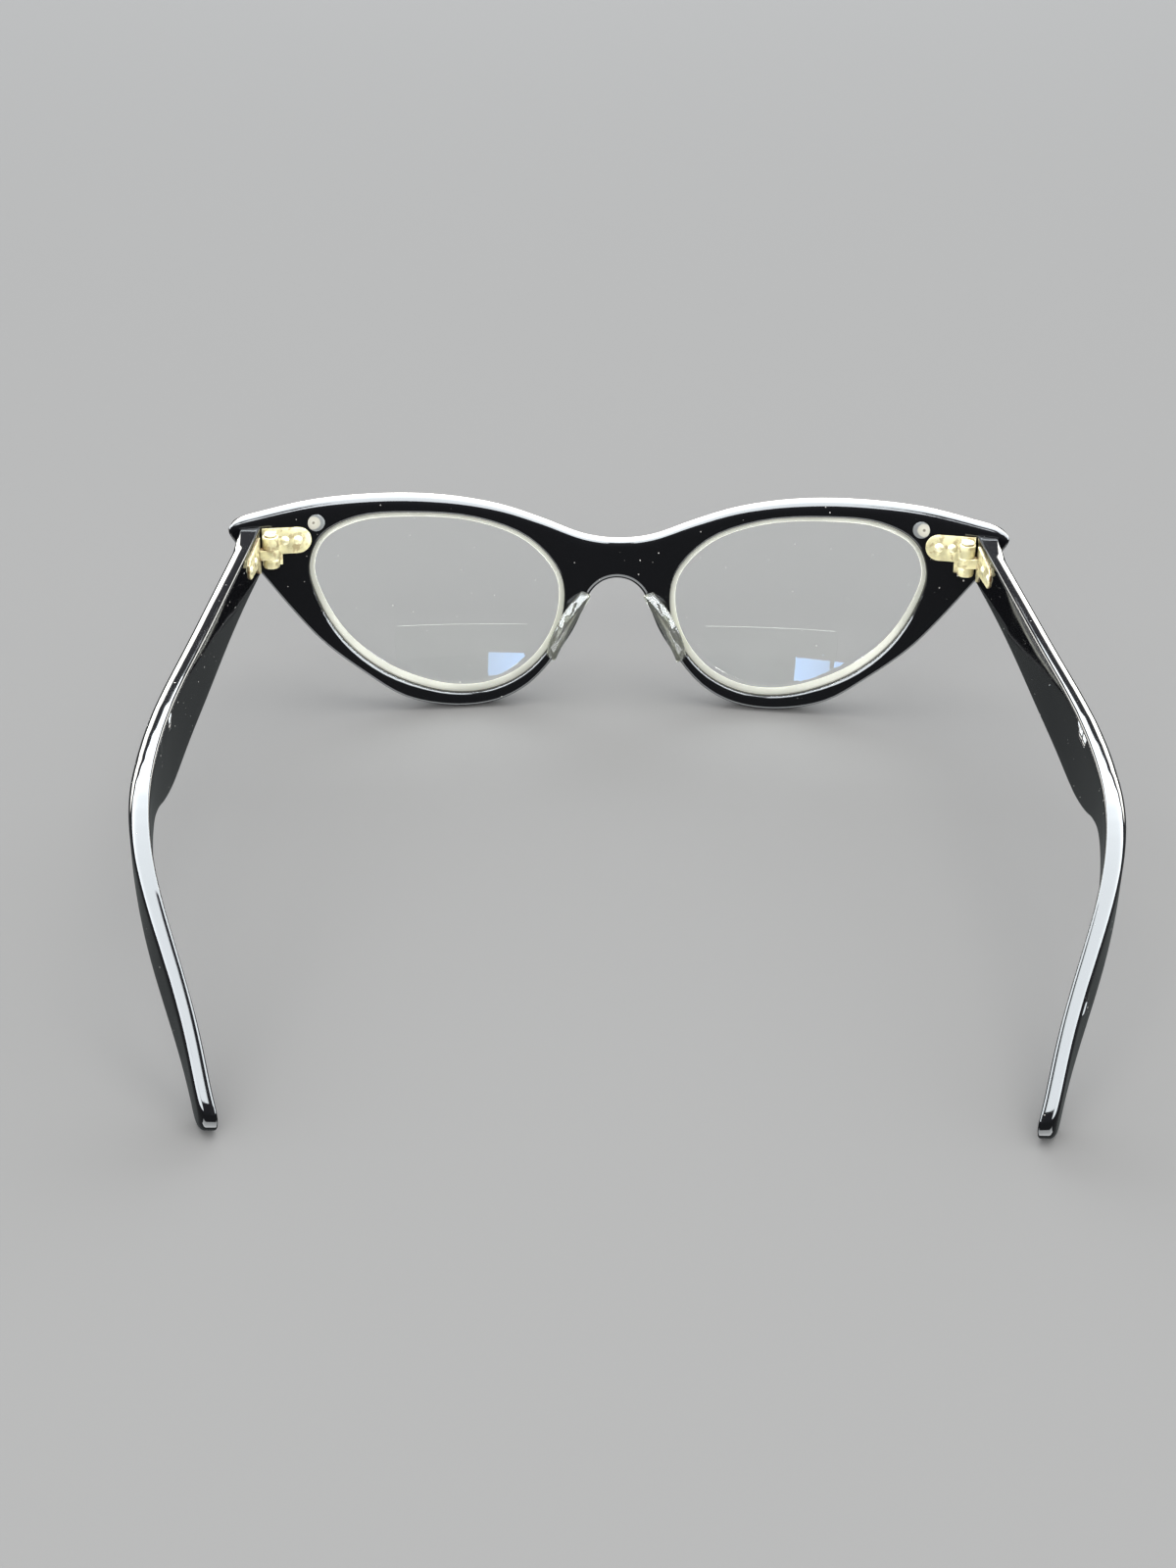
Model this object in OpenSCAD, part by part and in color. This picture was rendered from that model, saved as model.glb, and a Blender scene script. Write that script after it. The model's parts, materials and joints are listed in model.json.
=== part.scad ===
// Cat-eye eyeglasses frame in black acetate, with bifocal lenses and riveted brass hinges.
// Millimetres, +Z up. The glasses stand open on a level surface at z = 0, on the lowest
// points of the two rims and of the two ear tips. The front faces +Y, the wearer is on the
// -Y side and +X is the wearer's right. The origin is the middle of the footprint.
// The front is worked out flat, as x across and z up, then laid on an upright cylinder
// (its face form) and leaned forward at the top.

/* [Front] */
// Width over the two end pieces
front_w = 132.2; // [130:0.2:135]
// Height from the lowest point of a rim to the brow
front_h = 38; // [37.4:0.1:40]
// Thickness of the acetate
front_t = 4; // [3.8:0.1:5]
// Radius of the face form, seen from above
face_r = 220; // [200:5:260]
// Lean of the top of the front away from the face, degrees
front_lean = 8; // [6:0.5:9]

/* [Lenses] */
// Width of a lens opening
lens_w = 43.7; // [42:0.1:44]
// Height of a lens opening
lens_h = 32.8; // [31:0.1:33.2]
// Distance between the two lenses at the nose
lens_gap = 18.6; // [18:0.1:20]
// Thickness at the middle of a lens
lens_t = 2; // [1.8:0.1:2.6]
// Width of the ring ground on the back edge of a lens
lens_ring = 1.3; // [0.8:0.1:1.6]
// Width of the reading segment
segment_w = 24; // [22:0.2:25]

/* [Temples] */
// Thickness of a temple
temple_t = 3.3; // [3.1:0.1:3.5]
// Thickness of a temple at its ear tip
ear_t = 2.2; // [1.9:0.1:3]
// Height of a temple at the hinge
temple_h = 8.2; // [8:0.1:9]
// Extra depth of the blade at its widest, ahead of the ear
blade_drop = 5; // [3:0.1:5.6]
// Height of the temple behind the ear
ear_h = 6; // [5:0.1:6.4]

/* [Hinges] */
// Radius of the hinge barrels
barrel_r = 1.35; // [1.2:0.05:1.35]
// Radius of the hinge screw
screw_r = 0.6; // [0.5:0.05:0.7]
// Radial play of the temple barrel on its screw
play = 0.04; // [0.02:0.01:0.08]
// Thickness of a hinge leaf
leaf_t = 0.9; // [0.85:0.05:0.95]

/* [Hidden] */

black = [0.03, 0.03, 0.035];
glass = [0.80, 0.88, 0.88, 0.35];
segment_glass = [0.72, 0.82, 0.78, 0.5];
crystal = [0.86, 0.88, 0.74, 0.7];
brass = [0.86, 0.80, 0.55];
stud_metal = [0.90, 0.88, 0.76];

fit = 0.05;               // gap round a piece that is let into another
steps = 4;                // straight pieces between two points of a curve
far = 60;                 // longer than any cut needs to be

// where the front stands
lift = 0.377;             // raises the leaned front onto z = 0
temple_reach = 126.5;     // from the foot of the front back to the ear tips
brow_reach = 8.2;         // from the foot of the front forward to the brow
back_y = (temple_reach - brow_reach) / 2;

// lens seat
lens_x = (lens_gap + lens_w) / 2;
lens_z = 18.74;
groove_front = front_t / 2 + 0.55;
groove_back = front_t / 2 - 0.55;
groove_depth = 0.85;
front_curve_r = 110;      // front surface of a lens
back_curve_r = 85;        // back surface of a lens
lens_proud = 0.1;         // the crown of a lens stands this far before the front
segment_t = 0.7;
segment_r = segment_w / 2;
segment_x = lens_x - 4.3;
segment_top = 14.1;
segment_mid = segment_top - 3;

// hinge: the pin is upright, behind the end piece
pin_x = 58.9;
pin_y = -6.05;
barrel_foot = 28.8;       // underside of the lowest barrel
barrel_gap = 0.05;
low_barrel_h = 1.5;
mid_barrel_h = 1.7;
top_barrel_h = 2.2;
mid_foot = barrel_foot + low_barrel_h + barrel_gap;
top_foot = mid_foot + mid_barrel_h + barrel_gap;
barrel_top = top_foot + top_barrel_h;
bore_r = screw_r + play;
screw_head_r = 1.05;
screw_head_h = 0.5;
leaf_in = 0.65;           // how deep a leaf is let into the acetate
web_t = 1.5;              // the arm from a leaf to its barrel
leaf_z = barrel_foot + 2.4;      // middle of the front leaf and of its rivets
leaf_end_r = 2.25;
leaf_end_x = 54.7;
leaf_foot = barrel_foot - 1.7;   // the leaf reaches down to here beside the barrels
leaf_step_x = 57.3;
leaf_out_x = 60.6;
rivet_x = [54.7, 56.9];
rivet_r = 0.6;
rivet_head_r = 0.8;
rivet_head_h = 0.35;
stud_x = 51.6;
stud_z = 34;
stud_r = 1.45;
stud_in = 0.4;            // how deep its back disc is let in
stud_out = 0.1;           // how far the disc stands out behind
stud_dome_h = 0.7;        // height of its head on the front face
stud_shaft_r = 0.8;

// temple
temple_in_x = 60.85;      // inner face beside the barrels
temple_swing = 4.2;        // how far the front of the blade points outward, degrees
butt_gap = 0.12;          // between the open temple and the front
top_z = 35.3;
tip_r = ear_h / 2;
tip_y = -temple_reach + tip_r;
tip_slope = 41;           // how steeply the ear end falls
temple_rivet_y = [-10.6, -14.2];
temple_rivet_z = barrel_foot + 2.7;

// nose pads, each a flat slip bonded behind the nose edge
pad_x = 7.6;
pad_z = 14;
pad_turn = 27;            // from upright, seen from the front
pad_splay = 22;           // the back edges stand apart
pad_t = 1.9;
pad_half = 7.2;
pad_back = 4.6;

// ---- curves ----

function knot(a, b) = sqrt(norm(b - a));
function mix(a, b, ta, tb, t) = (a * (tb - t) + b * (t - ta)) / (tb - ta);
// a smooth curve from b to c that also heeds its neighbours a and d
function between(a, b, c, d, s) =
  let (t1 = knot(a, b), t2 = t1 + knot(b, c), t3 = t2 + knot(c, d), t = t1 + s * (t2 - t1),
       ab = mix(a, b, 0, t1, t), bc = mix(b, c, t1, t2, t), cd = mix(c, d, t2, t3, t))
  mix(mix(ab, bc, 0, t2, t), mix(bc, cd, t1, t3, t), t1, t2, t);
function closed_curve(p) =
  let (n = len(p))
  [for (i = [0 : n - 1]) for (k = [0 : steps - 1])
    between(p[(i + n - 1) % n], p[i], p[(i + 1) % n], p[(i + 2) % n], k / steps)];
function open_curve(p) =
  let (n = len(p), q = concat([2 * p[0] - p[1]], p, [2 * p[n - 1] - p[n - 2]]))
  concat([for (i = [1 : n - 1]) for (k = [0 : steps - 1])
    between(q[i - 1], q[i], q[i + 1], q[i + 2], k / steps)], [p[n - 1]]);
// moves a counter-clockwise outline outward by d
function grown(p, d) =
  let (n = len(p))
  [for (i = [0 : n - 1])
    let (run = p[(i + 1) % n] - p[(i + n - 1) % n])
    p[i] + d * [run.y, -run.x] / norm(run)];
// moves an open curve to its left, each point by its own d
function beside(p, d) =
  let (n = len(p))
  [for (i = [0 : n - 1])
    let (run = p[min(i + 1, n - 1)] - p[max(i - 1, 0)])
    p[i] + d[i] * [-run.y, run.x] / norm(run)];
function reversed(p) = [for (i = [len(p) - 1 : -1 : 0]) p[i]];
function arc(mid, r, from, to, n) =
  [for (i = [0 : n]) let (a = from + (to - from) * i / n) mid + r * [cos(a), sin(a)]];

// ---- outlines ----

// right half of the front, from the top of the bridge round the end piece to the nose arch,
// as fractions of the half width and of the height
half_front = [
  [0, 0.781], [0.09, 0.8], [0.197, 0.871], [0.31, 0.938], [0.454, 0.985], [0.605, 1],
  [0.787, 0.984], [0.923, 0.94], [0.986, 0.911], [1, 0.883], [0.979, 0.807], [0.927, 0.684],
  [0.835, 0.466], [0.769, 0.33], [0.666, 0.176], [0.56, 0.05], [0.431, 0], [0.318, 0.02],
  [0.231, 0.101], [0.151, 0.262], [0.115, 0.357], [0.089, 0.462], [0.076, 0.52],
  [0.058, 0.564], [0.033, 0.595], [0, 0.607]
];
right_edge = [for (p = half_front) [p.x * front_w / 2, p.y * front_h]];
left_edge = [for (i = [len(right_edge) - 2 : -1 : 1]) [-right_edge[i].x, right_edge[i].y]];
front_outline = closed_curve(concat(right_edge, left_edge));

// right lens, counter-clockwise from its outer side, as fractions of its half width and height
lens_shape = [
  [1, 0.47], [0.9, 0.79], [0.63, 0.97], [0.22, 1], [-0.31, 0.925], [-0.72, 0.7],
  [-0.97, 0.31], [-0.995, -0.08], [-0.89, -0.48], [-0.67, -0.81], [-0.36, -0.985],
  [-0.005, -0.975], [0.43, -0.74], [0.75, -0.36], [0.94, 0.1]
];
lens_outline = closed_curve(
  [for (p = lens_shape) [lens_x + p.x * lens_w / 2, lens_z + p.y * lens_h / 2]]);

// flat of the front hinge leaf, round at its inner end and taller beside the barrels
leaf_outline = concat(
  arc([leaf_end_x, leaf_z], leaf_end_r, 90, 270, 16),
  [[leaf_step_x, leaf_z - leaf_end_r], [leaf_step_x, leaf_foot],
   [leaf_out_x, leaf_foot], [leaf_out_x, leaf_z + leaf_end_r]]
);

// inner face of the right temple seen from above, from the hinge to the ear tip
temple_bow = open_curve([
  [60.55, -2], [63.3, -40], [65.6, -73], [64.9, -93], [62.3, -104], [56.8, -116], [52.2, -127.5]
]);
ear_from = 84;             // where the temple starts to thin out, and over what length
ear_run = 26;
function temple_depth(y) = temple_t + (ear_t - temple_t) * min(1, max(0, (-y - ear_from) / ear_run));
temple_plan = concat(
  beside(temple_bow, [for (p = temple_bow) temple_depth(p.y)]), reversed(temple_bow)
);

// temple seen from the side, as y and z
temple_foot = top_z - temple_h;
temple_side = concat(
  open_curve([
    [-2, top_z], [-41, top_z - 0.9], [-76, top_z - 2.1], [-91, top_z - 4.1],
    [-101, top_z - 8.3], [-110, top_z - 14.5],
    [tip_y - tip_r * sin(tip_slope), tip_r + tip_r * cos(tip_slope)]
  ]),
  arc([tip_y, tip_r], tip_r, 90 + tip_slope + 12, 270 + tip_slope - 12, 12),
  open_curve([
    [tip_y + tip_r * sin(tip_slope), tip_r - tip_r * cos(tip_slope)],
    [-106, 11.3 + tip_r], [-97.5, 18.4 + tip_r], [-89, 25.1], [-83.5, 24.6],
    [-78, temple_foot + 0.9 - blade_drop], [-71, temple_foot - blade_drop],
    [-56, temple_foot - 0.7 * blade_drop], [-36, temple_foot - 0.25 * blade_drop],
    [-20, temple_foot - 0.04 * blade_drop], [-2, temple_foot]
  ])
);

// ---- placing ----

module on_left() { mirror([1, 0, 0]) children(); }
module standing() { translate([0, back_y, 0]) children(); }
module leaned() { standing() translate([0, 0, lift]) rotate([-front_lean, 0, 0]) children(); }
// on the curved back face of the front at x and z, with +Z pointing forward out of it
module on_face(x, z) {
  translate([0, -face_r, 0]) rotate([0, 0, -asin(x / face_r)])
    translate([0, face_r, z]) rotate([-90, 0, 0]) children();
}
// a straight prism that carries an outline drawn in x and z through the front
module through(outline) {
  rotate([90, 0, 0]) translate([0, 0, -far / 4]) linear_extrude(far / 2) polygon(outline);
}
// everything behind the curved surface that lies d before the back face
module behind(d) {
  translate([0, -face_r, -far / 2]) cylinder(r = face_r + d, h = 2 * far, $fn = 720);
}
module layer(from, to) {
  difference() {
    behind(to);
    behind(from);
  }
}
// an outline as a curved plate between two depths of the front
module plate(outline, from, to) {
  intersection() {
    through(outline);
    layer(from, to);
  }
}

// ---- front ----

module lens_seat() {
  through(lens_outline);
  plate(grown(lens_outline, groove_depth), groove_back, groove_front);
}
module front_rivet_bores() {
  for (x = rivet_x) on_face(x, leaf_z)
    cylinder(r = rivet_r + fit / 2, h = far, center = true, $fn = 24);
}
module leaf_pocket() {
  leaf_slip(0, leaf_in + fit, fit);
  front_rivet_bores();
}
module stud_bore() {
  on_face(stud_x, stud_z) {
    cylinder(r = stud_shaft_r + fit / 2, h = far, center = true, $fn = 32);
    translate([0, 0, -1]) cylinder(r = stud_r + fit, h = 1 + stud_in + fit, $fn = 48);
  }
}
module side_cuts() {
  lens_seat();
  leaf_pocket();
  stud_bore();
}
module front_frame() {
  color(black) leaned() difference() {
    plate(front_outline, 0, front_t);
    side_cuts();
    on_left() side_cuts();
  }
}

// ---- lens ----

// the axis of a lens, +Z forward, with its origin on the crown of the front surface
module on_lens_axis() {
  on_face(lens_x, lens_z) translate([0, 0, front_t + lens_proud]) children();
}
module segment_form(grow) {
  intersection() {
    on_face(segment_x, segment_mid)
      cylinder(r = segment_r + grow, h = far, center = true, $fn = 96);
    translate([segment_x - far / 2, -far / 2, segment_top + grow - far]) cube([far, far, far]);
    through(grown(lens_outline, -lens_ring - 0.4 + grow));
  }
}
module right_lens_form() {
  difference() {
    union() {
      plate(grown(lens_outline, groove_depth - 0.1), groove_back + fit, groove_front - fit);
      intersection() {
        through(grown(lens_outline, -0.1));
        layer(groove_back, groove_front + 0.45);
      }
      intersection() {
        through(grown(lens_outline, -lens_ring));
        on_lens_axis() translate([0, 0, -front_curve_r]) sphere(front_curve_r, $fn = 360);
        behind(far / 4);
      }
    }
    on_lens_axis() translate([0, 0, -lens_t - back_curve_r]) sphere(back_curve_r, $fn = 360);
    difference() {
      segment_form(0.02);
      on_lens_axis() translate([0, 0, -front_curve_r])
        sphere(front_curve_r - segment_t - 0.02, $fn = 360);
    }
  }
}
module right_lens() { color(glass) leaned() right_lens_form(); }
module left_lens() { color(glass) leaned() on_left() right_lens_form(); }

module right_segment_form() {
  difference() {
    intersection() {
      segment_form(0);
      on_lens_axis() translate([0, 0, -front_curve_r]) sphere(front_curve_r, $fn = 360);
    }
    on_lens_axis() translate([0, 0, -front_curve_r]) sphere(front_curve_r - segment_t, $fn = 360);
  }
}
module right_bifocal_segment() { color(segment_glass) leaned() right_segment_form(); }
module left_bifocal_segment() { color(segment_glass) leaned() on_left() right_segment_form(); }

// ---- nose pad ----

// a slip with a rounded back edge; its flat inner side rests on the nose
module right_pad_form() {
  intersection() {
    translate([pad_x, 0, pad_z]) rotate([0, -pad_turn, 0]) rotate([0, 0, pad_splay])
      intersection() {
        translate([0, -pad_back, -pad_half]) cube([pad_t, pad_back + 2, 2 * pad_half]);
        translate([-1, 3.2, 0]) rotate([0, 90, 0])
          cylinder(r = pad_back + 3.2, h = pad_t + 2, $fn = 96);
      }
    behind(0);
  }
}
module right_nose_pad() { color(crystal) leaned() right_pad_form(); }
module left_nose_pad() { color(crystal) leaned() on_left() right_pad_form(); }

// ---- studs and rivets ----

// a low round head with a flat foot
module dome(r, h) {
  ball = (r * r + h * h) / 2 / h;
  intersection() {
    cylinder(r = r, h = h, $fn = 48);
    translate([0, 0, h - ball]) sphere(ball, $fn = 64);
  }
}
module right_stud_form() {
  on_face(stud_x, stud_z) {
    translate([0, 0, -stud_out]) cylinder(r = stud_r, h = stud_out + stud_in, $fn = 48);
    cylinder(r = stud_shaft_r, h = front_t + stud_dome_h / 2, $fn = 32);
    translate([0, 0, front_t]) dome(stud_r, stud_dome_h);
  }
}
module right_corner_stud() { color(stud_metal) leaned() right_stud_form(); }
module left_corner_stud() { color(stud_metal) leaned() on_left() right_stud_form(); }

// a shank with a low domed head at each end; +Z is the outer side
module rivet(from, to) {
  translate([0, 0, from]) cylinder(r = rivet_r, h = to - from, $fn = 24);
  for (end = [[from, 180], [to, 0]]) translate([0, 0, end.x]) rotate([end.y, 0, 0])
    dome(rivet_head_r, rivet_head_h);
}
module right_front_rivets_form() {
  for (x = rivet_x) on_face(x, leaf_z) rivet(leaf_in - leaf_t, front_t);
}
module right_front_hinge_rivets() { color(brass) leaned() right_front_rivets_form(); }
module left_front_hinge_rivets() { color(brass) leaned() on_left() right_front_rivets_form(); }

// ---- front hinge leaf ----

module leaf_slip(from, to, grow) { plate(grown(leaf_outline, grow), from, to); }
module barrel(foot, h) {
  translate([pin_x, pin_y, foot]) cylinder(r = barrel_r, h = h, $fn = 64);
}
module pin_bore(r) {
  translate([pin_x, pin_y, barrel_foot - 1]) cylinder(r = r, h = far / 4, $fn = 48);
}
module right_front_leaf_form() {
  difference() {
    union() {
      leaned() difference() {
        leaf_slip(leaf_in - leaf_t, leaf_in, 0);
        front_rivet_bores();
      }
      standing() for (b = [[barrel_foot, low_barrel_h], [top_foot, top_barrel_h]]) barrel(b.x, b.y);
      intersection() {
        standing() for (b = [[barrel_foot, low_barrel_h], [top_foot, top_barrel_h]])
          translate([pin_x - web_t / 2, pin_y, b.x]) cube([web_t, 3, b.y]);
        leaned() behind(0);
      }
    }
    standing() pin_bore(bore_r);
  }
}
module right_front_hinge_leaf() { color(brass) right_front_leaf_form(); }
module left_front_hinge_leaf() { color(brass) on_left() right_front_leaf_form(); }

// ---- hinge screw ----

module right_screw_form() {
  standing() translate([pin_x, pin_y, 0]) difference() {
    union() {
      translate([0, 0, barrel_foot - 0.2])
        cylinder(r = screw_r, h = barrel_top - barrel_foot + 0.3, $fn = 48);
      translate([0, 0, barrel_top]) cylinder(r = screw_head_r, h = screw_head_h, $fn = 48);
    }
    translate([-2, -0.2, barrel_top + 0.3]) cube([4, 0.4, 1]);
  }
}
module right_hinge_screw() { color(brass) right_screw_form(); }
module left_hinge_screw() { color(brass) on_left() right_screw_form(); }

// ---- temple and its hinge leaf ----

// beside the barrels on the inner face of the temple: +X outward, -Y along the blade
module on_blade() {
  translate([temple_in_x, pin_y, 0]) rotate([0, 0, temple_swing]) children();
}
module temple_leaf_slip(from, to, grow) {
  translate([from, 0, barrel_foot]) rotate([90, 0, 90]) linear_extrude(to - from)
    polygon([
      [-0.2 + grow, 5.3 + grow], [-0.2 + grow, 0], [-0.7, -1.1 - grow], [-1.5, -0.7 - grow],
      [-2.4, 0.8 - grow], [-8.2, 1 - grow], [-9.2 - grow, 1.8], [-9.2 - grow, 3.8],
      [-8.2, 4.6 + grow]
    ]);
}
module right_temple_leaf_form() {
  difference() {
    union() {
      on_blade() temple_leaf_slip(leaf_in - leaf_t, leaf_in, 0);
      barrel(mid_foot, mid_barrel_h);
      translate([pin_x, pin_y - barrel_r, mid_foot])
        cube([temple_in_x - pin_x, web_t, mid_barrel_h]);
    }
    pin_bore(bore_r);
    for (y = temple_rivet_y) temple_rivet_bore(y);
  }
}
module temple_rivet_bore(y) {
  on_blade() translate([0, y - pin_y, temple_rivet_z]) rotate([0, 90, 0])
    cylinder(r = rivet_r + fit / 2, h = far / 4, center = true, $fn = 24);
}
module right_temple_hinge_leaf() { color(brass) standing() right_temple_leaf_form(); }
module left_temple_hinge_leaf() { color(brass) standing() on_left() right_temple_leaf_form(); }

module right_temple_rivets_form() {
  for (y = temple_rivet_y) on_blade() translate([0, y - pin_y, temple_rivet_z])
    rotate([0, 90, 0]) rivet(leaf_in - leaf_t, temple_t + 0.1);
}
module right_temple_hinge_rivets() { color(brass) standing() right_temple_rivets_form(); }
module left_temple_hinge_rivets() { color(brass) standing() on_left() right_temple_rivets_form(); }

module right_temple_form() {
  difference() {
    intersection() {
      standing() translate([0, 0, -1]) linear_extrude(far) polygon(temple_plan);
      standing() rotate([90, 0, 90]) linear_extrude(2 * far) polygon(temple_side);
      leaned() behind(-butt_gap);
    }
    standing() {
      on_blade() temple_leaf_slip(-1, leaf_in + fit, fit);
      for (y = temple_rivet_y) temple_rivet_bore(y);
    }
  }
}
module right_temple() { color(black) right_temple_form(); }
module left_temple() { color(black) on_left() right_temple_form(); }

front_frame();
right_lens();
left_lens();
right_bifocal_segment();
left_bifocal_segment();
right_nose_pad();
left_nose_pad();
right_corner_stud();
left_corner_stud();
right_front_hinge_leaf();
left_front_hinge_leaf();
right_front_hinge_rivets();
left_front_hinge_rivets();
right_temple_hinge_leaf();
left_temple_hinge_leaf();
right_temple_hinge_rivets();
left_temple_hinge_rivets();
right_hinge_screw();
left_hinge_screw();
right_temple();
left_temple();
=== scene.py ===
"""Looks of a pair of cat-eye eyeglasses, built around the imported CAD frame.

The acetate front, temples and nose pads, and the lenses with their reading segments, are new
meshes that follow the outlines of the CAD nodes and have rounded, polished edges. The hinge
hardware is the CAD's own. Everything is in metres, in the frame of the CAD part.
"""

import json
import math

import bmesh
import bpy
import numpy as np
from mathutils import Matrix, Vector
from mathutils.geometry import delaunay_2d_cdt


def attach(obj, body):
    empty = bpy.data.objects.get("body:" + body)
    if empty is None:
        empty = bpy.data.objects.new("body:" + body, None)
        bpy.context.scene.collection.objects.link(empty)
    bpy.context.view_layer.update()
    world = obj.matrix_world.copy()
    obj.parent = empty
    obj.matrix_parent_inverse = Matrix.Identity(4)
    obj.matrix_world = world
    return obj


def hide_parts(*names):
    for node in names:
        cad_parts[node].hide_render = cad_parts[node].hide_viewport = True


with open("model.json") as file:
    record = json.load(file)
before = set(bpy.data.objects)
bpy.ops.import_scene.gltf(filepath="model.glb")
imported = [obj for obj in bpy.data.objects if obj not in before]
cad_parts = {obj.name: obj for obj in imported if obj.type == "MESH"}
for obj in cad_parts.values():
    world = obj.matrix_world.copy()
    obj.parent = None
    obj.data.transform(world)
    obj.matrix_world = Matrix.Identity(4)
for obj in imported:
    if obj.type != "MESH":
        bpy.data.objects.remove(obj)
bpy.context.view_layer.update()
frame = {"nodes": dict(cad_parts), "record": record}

MM = 0.001
SIDES = {"right": 1, "left": -1}

# the front is a sheet on an upright cylinder, leaned forward at the top
FACE_RADIUS = 220 * MM
FRONT_LEAN = math.radians(8)

FRONT_ROUND = 0.85 * MM      # rounding of the outer edge of the front's outer face
BACK_ROUND = 1.25 * MM       # the same on its back face, at its widest
BACK_ROUND_LOW = 0.45        # share of that below and at the sides
ARCH_REACH = 12 * MM         # half width of the nose arch, where it is at its widest again
# share of the back rounding along the top edge, against the distance from the middle
BROW_REACH = [8 * MM, 22 * MM, 32 * MM, 56 * MM, 64 * MM]
BROW_SHARE = [0.48, 0.76, 1.0, 1.0, 0.8]
RIM_ROUND = 0.45 * MM        # rounding round the lens openings
BOW_DEGREE = 11              # of the smooth curves that follow the faces of a temple
TEMPLE_THICKNESS = 3.3 * MM  # what the depths in a temple's edge are measured against
TEMPLE_BUTT = 6 * MM         # length over which the slanted front end of a temple fades out
TEMPLE_ROUND = (2.4 * MM, 0.6 * MM)   # roundings of the temples' outer and inner faces
# share of the outer one, against the distance back from where a temple meets the front
TEMPLE_REACH = [0, 6 * MM, 78 * MM, 96 * MM]
TEMPLE_SHARE = [0.2, 1.0, 1.0, 0.42]
PAD_ROUND = 0.7 * MM
PAD_FOOT = 1.5 * MM          # length over which that rounding grows from the bonded foot
STUD_RADIUS = 1.5 * MM
HARDWARE_ROUND = {"leaf": 0.16 * MM, "screw": 0.06 * MM, "rivet": 0.03 * MM, "stud": 0.08 * MM}

# spacing of the points along an outline, and of those that fill a broad face
EDGE_STEP = 0.55 * MM
FACE_STEP = 1.6 * MM

GROOVE_DEPTH = 0.8 * MM      # V groove that holds a lens: its half widths at the lip and floor
GROOVE_LIP = 0.8 * MM
GROOVE_FLOOR = 0.25 * MM
LENS_RING = (0.75 * MM, 1.5 * MM)   # width of the ground ring on a lens, at its top and bottom
LENS_PLAY = 0.05 * MM
FRONT_CURVE = 110 * MM       # radii of the two surfaces of a lens
BACK_CURVE = 85 * MM
LENS_THICKNESS = 2 * MM
LENS_PROUD = 0.1 * MM
BEVEL_HEIGHT = 0.7 * MM      # of the ridge round a lens that sits in the groove
BEVEL_HALF = 0.62 * MM       # half its width at the foot
BEVEL_EASE = 0.1 * MM        # small step beside its foot
PAINTED_EDGE_GLOW = 0.26             # painted glow: emission that lights up the ground edge of a lens
SEGMENT_DEPTH = 0.14 * MM
SEGMENT_INSET = 0.03 * MM    # how far the fused segment lies below the lens surface

CAMERA_PLACE = Vector((-8.31, -300.81, 179.69)) * MM
CAMERA_TURN = (28.51, -0.59, 0.92)   # degrees down, to the left and rolled
CAMERA_LENS = 51.75                  # mm, on a sensor 36 mm wide

# softboxes in the mirrored room: height in degrees from the horizon ahead, over the top and down
# behind (low, high, blur), sideways share of the direction (from, to), and light. A later one
# covers an earlier one; the dark one draws the fine line along the ear sections.
SOFTBOXES = [((-4, 18, 1.5), (-1, 0.76), (9.0, 8.9, 8.4)),
             ((33, 132, 2), (-1, 1), (18.0, 19.2, 20.0)),
             ((128, 166, 3), (0.5, 1), (18.0, 19.2, 20.0)),
             ((99, 180, 3), (-1, 0.08), (0.3, 0.31, 0.33)),
             ((-135, -100, 6), (-1, 0.7), (5.5, 5.7, 5.8))]
AMBIENT = (0.62, 0.64, 0.66, 1)
FLOOR_HALF = 3.0             # half the width of the floor, in metres

# a window low behind the viewer, mirrored as bluish panes in the lower part of the lenses
PANE_PLACE = Vector((-40, -176, 45)) * MM
PANE_AIM = Vector((6, 55, 20)) * MM
PANE_SIZE = (25 * MM, 42 * MM)
PANE_GAP = 14.5 * MM
PANE_SPREAD = math.radians(46)
PANE_POWER = 0.0028


# ---- reading outlines from the CAD nodes ----

def cad_mesh(node):
    """Points and triangles of a CAD node, with the points that coincide merged."""
    data = frame["nodes"][node].data
    data.calc_loop_triangles()
    points = np.array([v.co for v in data.vertices], float)
    keys, index = np.unique(np.round(points, 7), axis=0, return_inverse=True)
    faces = index.ravel()[np.array([t.vertices for t in data.loop_triangles])]
    distinct = ((faces[:, 0] != faces[:, 1]) & (faces[:, 1] != faces[:, 2])
                & (faces[:, 2] != faces[:, 0]))
    return keys, faces[distinct]


def face_normals(points, faces):
    a, b, c = (points[faces[:, k]] for k in range(3))
    normals = np.cross(b - a, c - a)
    return normals / np.maximum(np.linalg.norm(normals, axis=1), 1e-15)[:, None]


def border_loops(faces):
    """Closed chains of point numbers round a patch of triangles, the longest first."""
    directed = {(int(f[k]), int(f[(k + 1) % 3])) for f in faces for k in range(3)}
    follows = {a: b for a, b in sorted(directed) if (b, a) not in directed}
    loops = []
    while follows:
        start, here = next(iter(follows.items()))
        chain = [start]
        del follows[start]
        while here != start and here in follows:
            chain.append(here)
            here = follows.pop(here)
        loops.append(chain)
    return sorted(loops, key=len, reverse=True)


def area_of(loop):
    x, y = loop[:, 0], loop[:, 1]
    return 0.5 * float(np.sum(x * np.roll(y, -1) - y * np.roll(x, -1)))


def resampled(loop, weights, count):
    """A closed loop with count points, spread by the weight of each of its stretches."""
    ends = np.vstack([loop, loop[:1]])
    lengths = np.linalg.norm(np.diff(ends, axis=0), axis=1) * weights
    run = np.concatenate([[0], np.cumsum(lengths)])
    at = np.linspace(0, run[-1], count, endpoint=False)
    return np.column_stack([np.interp(at, run, ends[:, k]) for k in range(loop.shape[1])])


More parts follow.
